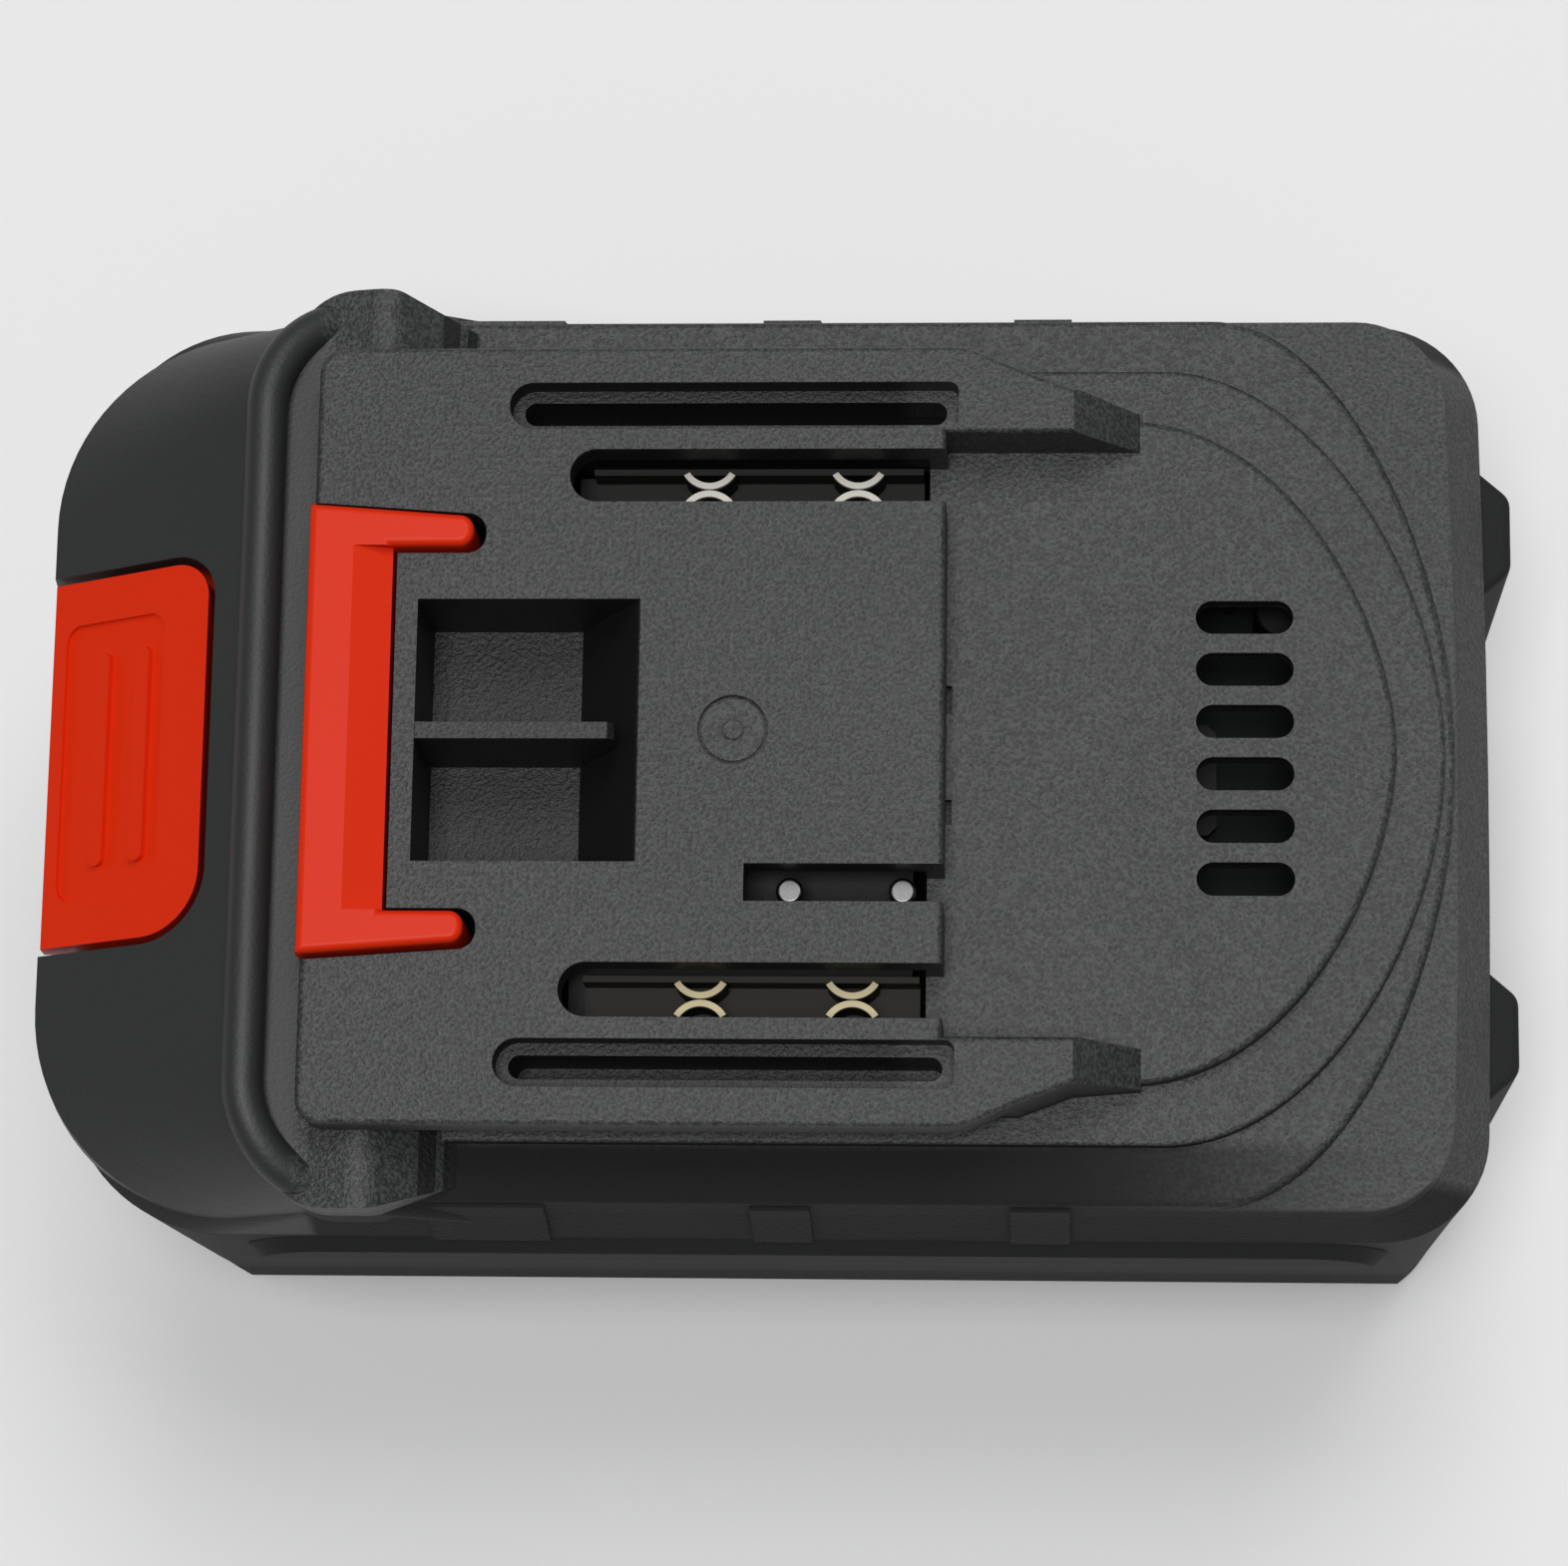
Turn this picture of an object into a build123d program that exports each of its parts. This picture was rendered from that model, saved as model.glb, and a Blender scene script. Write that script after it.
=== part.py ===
from build123d import *
import os
from math import atan2, cos, radians, sin, tan

# Slide-on battery pack for a power tool. Millimetres, real size.
# X runs from the release button to the vents, Y across the rails, Z up from the resting face.
# A "drop" is a height measured down from the top of the rail plate.
# A "run" is a length measured along X from the front edge of the rail plate.

# Overall size
pack_length = 117.65
pack_width = 76.6
plate_top = 64.0
overrun = 3.0
touch_gap = 0.3
tiny_round = 0.3

# Case shells
case_wall = 2.2
seam_drop = 16.0
base_wall = 2.4
bumper_proud = 2.3
rear_ledge = 2.95
rear_crown = 0.9
upper_rear_radius = 7.0
upper_rim_inset = 2.8
waist_drop = 11.3
waist_inset = 2.4
waist_front_run = -3.0
waist_front_radius = 5.0

# Rail plate and its two horns
plate_setback = 23.4
plate_width = 61.5
plate_length = 49.2
plate_skin = 3.1
plate_step_wall = 1.4
flange_thickness = 3.1
neck_width = 57.8
plate_corner = 2.0
plate_round = 0.5
horn_inner_width = 47.5
horn_straight = 1.5
horn_shoulder_run = 5.7
horn_shoulder_half = 28.9
horn_flat = 9.9
horn_flat_half = 27.3
horn_length = 15.1
horn_tip_half = 26.86
horn_tip_drop = 6.0
horn_bend = 5.0

# Stepped rear deck, inner step first
deck_drop = 6.0
deck_b_drop = 7.6
deck_c_drop = 8.5
deck_root = 1.5
deck_rounds = (0.5, 0.4, 0.6)
rim_drop = 9.3
deck_a_half = 26.45
deck_a_inset = 4.9
deck_a_reach = 21.0
deck_a_fullness = 0.64
deck_b_half = 31.0
deck_b_inset = 1.0
deck_b_reach = 21.9
deck_b_fullness = 0.55
deck_c_inset = 0.1
deck_c_reach = 18.9
deck_c_fullness = 0.55
deck_front_run = 6.0

# Vents in the deck
vent_count = 6
vent_length = 7.6
vent_width = 2.65
vent_pitch = 4.164
vent_place_share = 0.58291

# Slots in the rail plate
rib_slot_start = 15.05
rib_slot_length = 35.1
rib_slot_width = 3.75
rib_slot_spacing = 51.9
rib_slot_depth = 2.5
rib_slot_inner_width = 1.85
rib_slot_inner_depth = 9.0
rib_slot_corner = 0.8
blade_slot_start = 19.9
blade_slot_width = 4.25
blade_slot_spacing = 40.6
signal_slot_start = 33.95
signal_slot_width = 2.95
signal_slot_offset = 11.95

# Pocket between the hook arms
pocket_start = 8.3
pocket_length = 17.35
pocket_width = 20.76
pocket_depth = 10.75
pocket_slope_run = 5.5
pocket_wall = 1.4
divider_width = 1.3
divider_drop = 0.3
divider_length = 15.4
divider_chamfer = 0.5

# Gate mark and the two small notches at the foot of the step
gate_run = 32.95
gate_diameter = 5.4
gate_groove = 0.25
gate_groove_depth = 0.4
gate_recess = 0.15
gate_nub = 1.5
gate_nub_height = 0.35
notch_depth = 0.45
notch_drop = 0.9
notch_a_width = 2.3
notch_a_offset = 3.75
notch_b_width = 2.0
notch_b_offset = -5.2

# Hood at the button end
hood_brow_run = 5.9
hood_brow_drop = 3.0
hood_brow_fall = 31.0
hood_lip_setback = 0.3
hood_lip_drop = 13.6
hood_lip_fall = 2.4
hood_end_runs = (13.1, 15.1, 18.2)
hood_end_share = 2.0
hood_insets = (2.7, 2.1, 2.0)
hood_radii = (9.0, 16.5, 16.5)
bead_radius = 1.6
bead_run = 4.5
bead_drop = 2.7
bead_inset = 3.3
bead_corner = 8.5
bead_end_run = 15.1
valley_run = 4.5
valley_drop = 4.2
valley_inset = 4.8
valley_corner = 7.5
valley_depth = 6.0
valley_end_run = 4.0
cheek_front_run = 3.0
cheek_front_drop = 5.0
cheek_crest_run = 5.0
cheek_crest_drop = 3.2
cheek_rear_run = 12.5
cheek_foot_drop = 12.0
cheek_inner_half = 27.0
cheek_outer_inset = 1.6
cheek_hip_run = 5.5
cheek_hip_inset = 4.3
cheek_corner = 3.0
cheek_front_corner = 5.0
cheek_round = 3.0

# Ribs on the flanks of the upper case
flank_rib_width = 4.6
flank_rib_proud = 0.35
flank_rib_runs = (36.5, 56.6)
flank_band_start = 9.0
flank_band_end = 18.2
flank_rib_top_drop = 9.6

# Lower case
pad_proud = 1.1
lower_front_setback = 2.7
lower_front_radius = 13.0
lower_rear_radius = 8.5
lower_crown = 0.6
lower_draft = 1.2
flank_rim_inset = 1.0
flank_knee_inset = 2.0
flank_knee_z = 26.0
flank_base_inset = 3.35
flank_base_z = 8.0
flank_wall = 1.3
lower_rim_round = 0.4
lower_base_round = 1.6
pad_start = 13.8
pad_end = 7.9
pad_top_gap = 1.0
pad_base_gap = 26.0
pad_lean_gap = 5.0
pad_lean = 2.3
pad_corner = 7.0
bumper_width = 10.1
bumper_offset = 20.45
bumper_top_gap = 2.0
bumper_base_gap = 14.0
bumper_slant = 2.0
bumper_round = 0.8

# Screws and bosses
screw_front_inset = 5.4
screw_front_spacing = 48.0
screw_rear_inset = 6.2
screw_rear_spacing = 28.0
boss_radius = 3.4
screw_shank = 3.0
screw_hole = 3.4
screw_head = 4.8
screw_head_height = 2.2
screw_seat_height = 33.0
screw_length = 19.5
pilot_clearance = 0.05
counterbore = 5.4

# Release latch
latch_travel = 5.0
hook_front_overhang = 0.24
hook_bar = 6.49
hook_flat = 3.54
hook_width = 35.6
hook_reach = 12.84
hook_arm_inner = 28.8
hook_arm_tip_width = 33.6
hook_rise = 1.2
hook_slope_drop = 1.3
hook_round = 0.6
hook_tip_round = 1.1
hook_gap = 0.35
hook_tip_gap = 0.9
button_width = 29.8
button_rear_run = 9.0
button_corners = (3.0, 5.0)
button_gap = 0.6
button_sink = 0.15
button_wall = 2.0
button_skirt = 7.0
button_skirt_half = 14.1
button_skirt_lap = 1.0
panel_depth = 0.35
panel_width = 22.6
panel_rear_gap = 3.9
panel_front_gap = 1.6
panel_corner = 1.5
grip_width = 1.5
grip_length = 17.4
grip_height = 0.5
grip_runs = (14.7, 18.3)
carriage_drop = 13.8
carriage_thickness = 2.2
carriage_half = 17.2
carriage_front_gap = 0.6

# Springs under the latch
spring_wire = 0.7
spring_diameter = 4.9
spring_turns = 6
wire_sides = 8
spring_spacing = 22.0
spring_pin = 3.2
spring_pin_height = 2.6
spring_seat_height = 37.6

# Cells and what holds them
cell_diameter = 18.2
cell_length = 65.2
cell_cap_diameter = 6.0
cell_cap_height = 0.8
cell_groove = 0.6
cell_groove_width = 1.4
cell_groove_inset = 3.2
cell_edge = 0.5
cell_layers = 2
cell_pitch = 18.7
bore_clearance = 0.1
holder_depth = 12.8
holder_end_gap = 0.2
holder_edge = 0.8
holder_foot = 0.9
pad_thickness = 1.2
pad_margin = 3.0
strip_thickness = 0.3
strip_width = 8.0
strip_tab_width = 4.0
strip_tab_rise = 1.2
paper_thickness = 0.3
paper_margin = 1.0

# Circuit board and what stands on it
board_thickness = 1.6
board_half = 32.2
board_front_run = 11.6
board_rear_inset = 1.75
board_corner = 2.0
chip_size = 9.0
chip_height = 1.4
chip_inset = 15.45
shunt_length = 12.0
shunt_width = 4.0
shunt_height = 2.4
shunt_thickness = 0.8
shunt_offset = 16.0
mosfet_length = 6.4
mosfet_width = 9.6
mosfet_height = 2.3
mosfet_pitch = 9.0
mosfet_offset = -18.0
mosfet_tab = 1.6
capacitor_diameter = 5.0
capacitor_height = 6.0
capacitor_inset = 5.45
capacitor_offset = 13.0

# Terminals
contact_drop = 4.2
channel_floor_drop = 8.0
channel_wall_drop = 5.4
sheet_metal = 0.5
channel_width = 4.0
channel_start_gap = 1.4
channel_end_gap = 1.9
fork_runs = (30.5, 42.2)
fork_length = 3.6
fork_spread = 2.6
fork_pinch = 0.1
signal_pin_runs = (37.3, 46.0)
signal_pin_diameter = 2.1
signal_pin_drop = 3.4
signal_pin_ring = 0.3
block_clearance = 0.35
block_wall = 1.3
block_floor = 1.6
block_bridge_start = 28.6
thermistor_diameter = 3.2
thermistor_length = 8.0
thermistor_column = 2.5

# Places worked out from the sizes above
nose_x = -pack_length / 2
pack_half = pack_width / 2
lower_half = pack_half - pad_proud
upper_rim_half = pack_half - upper_rim_inset
waist_half = pack_half - waist_inset
hood_halves = tuple(pack_half - inset for inset in hood_insets)
bead_half = pack_half - bead_inset
valley_half = pack_half - valley_inset
cheek_outer_half = pack_half - cheek_outer_inset
cheek_hip_half = pack_half - cheek_hip_inset
flank_rim_half = pack_half - flank_rim_inset
flank_knee_half = pack_half - flank_knee_inset
flank_base_half = pack_half - flank_base_inset
case_rear = pack_length / 2 - bumper_proud
plate_x = nose_x + plate_setback
step_x = plate_x + plate_length
plate_half = plate_width / 2
neck_half = neck_width / 2
seam_z = plate_top - seam_drop
rim_z = plate_top - rim_drop
rear_x = case_rear - rear_ledge
lower_front = nose_x + lower_front_setback
cavity_front = lower_front + case_wall
cavity_half = lower_half - case_wall
holder_front = lower_front + screw_front_inset + boss_radius + touch_gap
column_room = case_rear - case_wall - holder_front - 2 * (bore_clearance + holder_edge) - cell_diameter
cell_columns = int(column_room / cell_pitch) + 1
holder_length = (cell_columns - 1) * cell_pitch + cell_diameter + 2 * (bore_clearance + holder_edge)
board_front = plate_x + board_front_run
board_rear = holder_front + holder_length - board_rear_inset
chip_x = board_rear - chip_inset
vent_x = step_x + vent_place_share * (rear_x - step_x)
block_centre = holder_front + holder_length / 2
floor_z = base_wall
holder_z = floor_z + pad_thickness
first_row_z = holder_z + holder_edge + bore_clearance + cell_diameter / 2
holder_top = first_row_z + (cell_layers - 1) * cell_pitch + cell_diameter / 2 + bore_clearance + holder_edge
board_z = holder_top + holder_foot
board_top = board_z + board_thickness
cell_half = cell_length / 2
blade_y = blade_slot_spacing / 2
screw_places = (
    (lower_front + screw_front_inset, screw_front_spacing / 2),
    (lower_front + screw_front_inset, -screw_front_spacing / 2),
    (case_rear - screw_rear_inset, screw_rear_spacing / 2),
    (case_rear - screw_rear_inset, -screw_rear_spacing / 2),
)
spring_x = lower_front + screw_front_inset
carriage_z = plate_top - carriage_drop
latch_floor = carriage_z - carriage_thickness


def run(distance):
    """Place along X, counted from the front edge of the rail plate."""
    return plate_x + distance


def level(drop):
    """Height of a surface that lies a drop below the top of the rail plate."""
    return plate_top - drop


def block(x0, x1, y0, y1, z0, z1):
    """Box between two corners."""
    centre = ((x0 + x1) / 2, (y0 + y1) / 2, (z0 + z1) / 2)
    return Pos(*centre) * Box(x1 - x0, y1 - y0, z1 - z0)


def post(x, y, z0, z1, radius):
    """Upright cylinder between two heights."""
    return Pos(x, y, (z0 + z1) / 2) * Cylinder(radius, z1 - z0)


def prism(face, z0, z1):
    """Upright extrusion of a plan outline between two heights."""
    return extrude(Pos(0, 0, z0) * face, amount=z1 - z0, dir=(0, 0, 1))


def across(points, y0, y1):
    """Extrusion along Y of an outline given as X and Z."""
    plane = Plane(origin=(0, y1, 0), x_dir=(1, 0, 0), z_dir=(0, -1, 0))
    return extrude(plane * Polygon(*points, align=None), amount=y1 - y0, dir=(0, -1, 0))


def mirrored(solid):
    """A solid together with its mirror image across the middle of the pack."""
    return solid + mirror(solid, about=Plane.XZ)


# Outlines

def front_rounded(plane, length, half, radius):
    """Outline with two rounded front corners and a straight back, on the given plane."""
    elbow = radius * (1 - cos(radians(45)))
    edges = [
        Line((length, half), (radius, half)),
        ThreePointArc((radius, half), (elbow, half - elbow), (0, half - radius)),
        Line((0, half - radius), (0, radius - half)),
        ThreePointArc((0, radius - half), (elbow, elbow - half), (radius, -half)),
        Line((radius, -half), (length, -half)),
        Line((length, -half), (length, half)),
    ]
    return plane * make_face(edges)


def hood_section(x, drop, fall, end_run, half, radius):
    """Hood outline on a plane that starts at its front edge and falls towards the vents by degrees."""
    slope = radians(fall)
    start = (x, 0, level(drop))
    plane = Plane(origin=start, x_dir=(cos(slope), 0, -sin(slope)), z_dir=(sin(slope), 0, cos(slope)))
    return front_rounded(plane, (run(end_run) - x) / cos(slope), half, radius)


def crowned_outline(x0, x1, half, crown, radius):
    """Plan outline with a straight front and a gently bowed, round-cornered rear."""
    edges = [
        Line((x0, -half), (x1 - crown, -half)),
        ThreePointArc((x1 - crown, -half), (x1, 0), (x1 - crown, half)),
        Line((x1 - crown, half), (x0, half)),
        Line((x0, half), (x0, -half)),
    ]
    face = make_face(edges)
    corners = face.vertices().sort_by(Axis.X)[-2:]
    return fillet(corners, radius)


def shell_outline(x0, x1, half, crown, front_radius, rear_radius):
    """Plan outline with round corners at both ends and a gently bowed rear."""
    face = crowned_outline(x0, x1, half, crown, rear_radius)
    corners = face.vertices().sort_by(Axis.X)[:2]
    return fillet(corners, front_radius)


def domed_outline(x0, x1, half, reach, fullness):
    """Plan outline whose rear end is a smooth dome of the given reach; fuller domes are squarer."""
    centre = x1 - reach
    elbow = centre + fullness * reach
    flat = half * (1 - fullness)
    edges = [
        Line((x0, -half), (centre, -half)),
        Bezier((centre, -half), (elbow, -half), (x1, -flat), (x1, 0)),
        Bezier((x1, 0), (x1, flat), (elbow, half), (centre, half)),
        Line((centre, half), (x0, half)),
        Line((x0, half), (x0, -half)),
    ]
    return make_face(edges)


def obround(x, y, length, width):
    """Slot outline along X, centred on a point."""
    return Pos(x, y) * SlotOverall(length, width)


# Upper case, outside

def hood_pitch():
    """Slope of the hood front, as an angle in radians."""
    reach = run(-hood_brow_run) - nose_x - hood_lip_setback
    return atan2(hood_lip_drop - hood_brow_drop, reach)


def hood_solid(inset):
    """Hood between brow, lip and seam, drawn in on every outer face by the inset."""
    sink = inset / cos(hood_pitch())
    lip_x = nose_x + hood_lip_setback + inset
    lip_drop = hood_lip_drop + sink - inset * tan(hood_pitch())
    foot_drop = seam_drop if inset == 0 else seam_drop + overrun
    starts = (run(-hood_brow_run), lip_x, nose_x + inset)
    drops = (hood_brow_drop + sink, lip_drop, foot_drop)
    falls = (hood_brow_fall, hood_lip_fall, 0)
    sections = []
    for index in range(len(starts)):
        end = hood_end_runs[index] - hood_end_share * inset
        half = hood_halves[index] - inset
        radius = hood_radii[index] - inset
        sections.append(hood_section(starts[index], drops[index], falls[index], end, half, radius))
    return loft(sections, ruled=True)


def rear_solid(inset, grow=0):
    """Body behind the hood: upright from the rim to the waist, then flared out to the seam."""
    front = run(deck_front_run) + inset
    back = rear_x - inset
    top_face = crowned_outline(front, back, upper_rim_half - inset + grow, rear_crown, upper_rear_radius)
    waist_face = crowned_outline(front, back, waist_half - inset + grow, rear_crown, upper_rear_radius)
    waist = level(waist_drop)
    body = loft([Pos(0, 0, waist) * waist_face, Pos(0, 0, rim_z - inset) * top_face], ruled=True)
    foot = seam_z if inset == 0 else seam_z - overrun
    high = shell_outline(
        run(waist_front_run) + inset, back, waist_half - inset + grow, rear_crown, waist_front_radius,
        upper_rear_radius,
    )
    low = shell_outline(
        lower_front + inset, case_rear - inset, lower_half - inset + grow, lower_crown,
        lower_front_radius - inset, lower_rear_radius - inset,
    )
    flare = loft([Pos(0, 0, foot) * low, Pos(0, 0, waist) * high], ruled=True)
    return body + flare


def deck_solid(index):
    """One step of the rear deck, counted from the innermost."""
    drops = (deck_drop, deck_b_drop, deck_c_drop)
    halves = (deck_a_half, deck_b_half, upper_rim_half)
    insets = (deck_a_inset, deck_b_inset, deck_c_inset)
    reaches = (deck_a_reach, deck_b_reach, deck_c_reach)
    fullness = (deck_a_fullness, deck_b_fullness, deck_c_fullness)
    face = domed_outline(
        run(deck_front_run), rear_x - insets[index], halves[index], reaches[index], fullness[index]
    )
    step = prism(face, rim_z - deck_root, level(drops[index]))
    rim = step.faces().sort_by(Axis.Z)[-1].edges().sort_by(Axis.X)[1:]
    return fillet(rim, deck_rounds[index])


def plate_outline():
    """Plan of the rail plate with its two horns."""
    upper_side = [
        (run(0), plate_half),
        (run(plate_length + horn_straight), plate_half),
        (run(plate_length + horn_shoulder_run), horn_shoulder_half),
        (run(plate_length + horn_flat), horn_flat_half),
        (run(plate_length + horn_length), horn_tip_half),
        (run(plate_length + horn_length), horn_inner_width / 2),
        (run(plate_length), horn_inner_width / 2),
    ]
    lower_side = [(x, -y) for x, y in reversed(upper_side)]
    face = make_face(Polyline(*upper_side, *lower_side, close=True))
    front = face.vertices().sort_by(Axis.X)[:2]
    face = fillet(front, plate_corner)
    bends = face.vertices().filter_by(
        lambda v: abs(v.X - run(plate_length + horn_straight)) < tiny_round
        and abs(abs(v.Y) - plate_half) < tiny_round
    )
    return fillet(bends, horn_bend)


def plate_solid():
    """Rail plate: overhanging flange on a narrower neck, with horn tips cut to a slope."""
    face = plate_outline()
    flange = prism(face, level(flange_thickness), plate_top)
    top_edges = flange.faces().sort_by(Axis.Z)[-1].outer_wire().edges()
    flange = fillet(top_edges, plate_round)
    neck_box = block(run(-overrun), run(plate_length + horn_length + overrun), -neck_half, neck_half,
                     rim_z - deck_root, level(flange_thickness))
    neck = prism(face, rim_z - deck_root, level(flange_thickness)) & neck_box
    tip = [
        (run(plate_length + horn_flat), plate_top),
        (run(plate_length + horn_length), level(horn_tip_drop)),
        (run(plate_length + horn_length) + overrun, level(horn_tip_drop)),
        (run(plate_length + horn_length) + overrun, plate_top + overrun),
        (run(plate_length + horn_flat), plate_top + overrun),
    ]
    return flange + neck - across(tip, -plate_half, plate_half)


def brow_bead():
    """Round bead along the brow of the hood and down both flanks."""
    fall = radians(hood_brow_fall)
    start = (run(-bead_run), 0, level(bead_drop))
    plane = Plane(origin=start, x_dir=(cos(fall), 0, -sin(fall)), z_dir=(sin(fall), 0, cos(fall)))
    half = bead_half
    corner = bead_corner
    length = (bead_end_run + bead_run) / cos(fall)
    elbow = corner * (1 - cos(radians(45)))
    path = Wire([
        Line((length, half, 0), (corner, half, 0)),
        ThreePointArc((corner, half, 0), (elbow, half - elbow, 0), (0, half - corner, 0)),
        Line((0, half - corner, 0), (0, corner - half, 0)),
        ThreePointArc((0, corner - half, 0), (elbow, elbow - half, 0), (corner, -half, 0)),
        Line((corner, -half, 0), (length, -half, 0)),
    ])
    section = Plane(origin=(length, half, 0), z_dir=(-1, 0, 0)) * Circle(bead_radius)
    return plane.location * sweep(section, path=path)


def valley_floor():
    """Level floor between the brow bead and the front of the rail plate."""
    x0 = run(-valley_run)
    x1 = run(valley_end_run)
    face = Polygon((x0, -valley_half), (x1, -valley_half), (x1, valley_half), (x0, valley_half), align=None)
    front = face.vertices().sort_by(Axis.X)[:2]
    return prism(fillet(front, valley_corner), level(valley_drop + valley_depth), level(valley_drop))


def cheek():
    """Mound beside the front of the rail plate, with a crest across and a hipped outer end."""
    profile = [
        (run(-cheek_front_run), level(cheek_foot_drop)),
        (run(-cheek_front_run), level(cheek_front_drop)),
        (run(cheek_crest_run), level(cheek_crest_drop)),
        (run(cheek_rear_run), rim_z),
        (run(cheek_rear_run), level(cheek_foot_drop)),
    ]
    ridge = across(profile, cheek_inner_half, cheek_outer_half)
    plan = Polygon(
        (run(-cheek_front_run), cheek_inner_half),
        (run(-cheek_front_run), cheek_outer_half),
        (run(cheek_hip_run), cheek_outer_half),
        (run(cheek_rear_run), cheek_hip_half),
        (run(cheek_rear_run), cheek_inner_half),
        align=None,
    )
    hip = plan.vertices().sort_by_distance((run(cheek_hip_run), cheek_outer_half, 0))[:1]
    plan = fillet(hip, cheek_corner)
    front = plan.vertices().sort_by_distance((run(-cheek_front_run), cheek_outer_half, 0))[:1]
    plan = fillet(front, cheek_front_corner)
    body = ridge & prism(plan, level(cheek_foot_drop), plate_top)
    crest = body.edges().filter_by(Axis.Y).sort_by(Axis.Z)[-1:]
    return fillet(crest, cheek_round)


def flank_ribs():
    """Shallow upright ribs on both flanks, and the raised band behind the hood."""
    grown = rear_solid(0, flank_rib_proud)
    half = pack_width
    top = level(flank_rib_top_drop)
    keep = block(run(flank_band_start), run(flank_band_end), -half, half, seam_z, rim_z)
    for centre in flank_rib_runs:
        x = run(centre)
        keep += block(x - flank_rib_width / 2, x + flank_rib_width / 2, -half, half, seam_z, top)
    width = waist_half - case_wall
    inner = block(run(0), rear_x, -width, width, seam_z - overrun, plate_top)
    return (grown & keep) - inner


def upper_core():
    """Hollow of the upper case: hood, flanks, deck and the space under the rail plate."""
    core = hood_solid(case_wall) + rear_solid(case_wall)
    deck = domed_outline(
        run(deck_front_run) + case_wall,
        rear_x - deck_a_inset - case_wall,
        deck_a_half - case_wall,
        deck_a_reach - case_wall,
        deck_a_fullness,
    )
    core += prism(deck, seam_z - overrun, level(deck_drop) - case_wall)
    half = blade_slot_spacing / 2 + blade_slot_width / 2 + block_clearance
    under = block(run(case_wall), step_x - plate_step_wall, -half, half, seam_z - overrun,
                  plate_top - plate_skin)
    return core + under


def pocket_shape(inset, top):
    """Pocket with one sloping end, or the tub round it when the inset is negative."""
    x0 = run(pocket_start) + inset
    x1 = run(pocket_start + pocket_length) - inset
    z0 = level(pocket_depth) + inset
    half = pocket_width / 2 - inset
    profile = [(x0, z0), (x1 - pocket_slope_run, z0), (x1, plate_top), (x1, top), (x0, top)]
    return across(profile, -half, half)


def pocket_divider():
    """Thin wall that splits the pocket along its middle."""
    x0 = run(pocket_start)
    x1 = x0 + divider_length
    top = level(divider_drop)
    foot = level(pocket_depth)
    profile = [(x0, foot), (x1, foot), (x1, top - divider_chamfer), (x1 - divider_chamfer, top), (x0, top)]
    return across(profile, -divider_width / 2, divider_width / 2)


def slot_cuts():
    """Rib slots, blade slots and the signal slot of the rail plate."""
    cuts = []
    top = plate_top + overrun
    for side in (1, -1):
        y = side * rib_slot_spacing / 2
        x0 = run(rib_slot_start)
        wide = obround(x0 + rib_slot_length / 2, y, rib_slot_length, rib_slot_width)
        end = Pos(x0 + rib_slot_length - rib_slot_width / 2, y) * RectangleRounded(
            rib_slot_width, rib_slot_width, rib_slot_corner
        )
        cuts.append(prism(wide + end, level(rib_slot_depth), top))
        lip = (rib_slot_width - rib_slot_inner_width) / 2
        inner = obround(x0 + rib_slot_length / 2, y, rib_slot_length - 2 * lip, rib_slot_inner_width)
        cuts.append(prism(inner, level(rib_slot_inner_depth), top))
        y = side * blade_y
        x0 = run(blade_slot_start)
        length = step_x + overrun - x0
        blade = obround(x0 + length / 2, y, length, blade_slot_width)
        tail = Pos(step_x, y) * Rectangle(2 * overrun, blade_slot_width)
        limit = block(x0 - overrun, step_x + tiny_round, y - overrun, y + overrun, level(deck_drop), top)
        cuts.append(prism(blade + tail, level(deck_drop), top) & limit)
    signal = block(
        run(signal_slot_start),
        step_x + tiny_round,
        -signal_slot_offset - signal_slot_width / 2,
        -signal_slot_offset + signal_slot_width / 2,
        level(deck_drop),
        top,
    )
    cuts.append(signal)
    return cuts


def vent_cuts():
    """Row of round-ended vents through the deck."""
    cuts = []
    for number in range(vent_count):
        y = (number - (vent_count - 1) / 2) * vent_pitch
        face = obround(vent_x, y, vent_length, vent_width)
        cuts.append(prism(face, seam_z, plate_top))
    return cuts


def notch_cuts():
    """Two small notches in the deck at the foot of the step."""
    top = level(deck_drop) + overrun
    foot = level(deck_drop + notch_drop)
    cuts = []
    for width, y in ((notch_a_width, notch_a_offset), (notch_b_width, notch_b_offset)):
        cuts.append(block(step_x, step_x + notch_depth, y - width / 2, y + width / 2, foot, top))
    return cuts


def gate_cut():
    """Ring groove and shallow disc of the moulding gate, less its nub."""
    x = run(gate_run)
    radius = gate_diameter / 2
    disc = post(x, 0, level(gate_recess), plate_top + overrun, radius)
    ring = post(x, 0, level(gate_groove_depth), plate_top + overrun, radius)
    ring -= post(x, 0, level(gate_groove_depth), plate_top + overrun, radius - gate_groove)
    nub = post(x, 0, level(gate_recess), level(gate_recess) + gate_nub_height, gate_nub / 2)
    return disc + ring - nub


def hook_outline(gap, tip_gap):
    """Plan of the hook: a bar with two arms, grown by a gap, with more room past the tips."""
    x0 = run(-hook_front_overhang) - gap
    x1 = run(-hook_front_overhang) + hook_bar + gap
    x2 = run(-hook_front_overhang) + hook_reach + tip_gap
    outer = hook_width / 2 + gap
    tip = hook_arm_tip_width / 2 + gap
    inner = hook_arm_inner / 2 - gap
    side = [(x1, 0), (x1, inner), (x2, inner), (x2, tip), (x0, outer)]
    other = [(x, -y) for x, y in reversed(side[1:])]
    face = make_face(Polyline(*side, *other, close=True))
    tips = face.vertices().sort_by(Axis.X)[-4:]
    return fillet(tips, hook_tip_round + gap)


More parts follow.
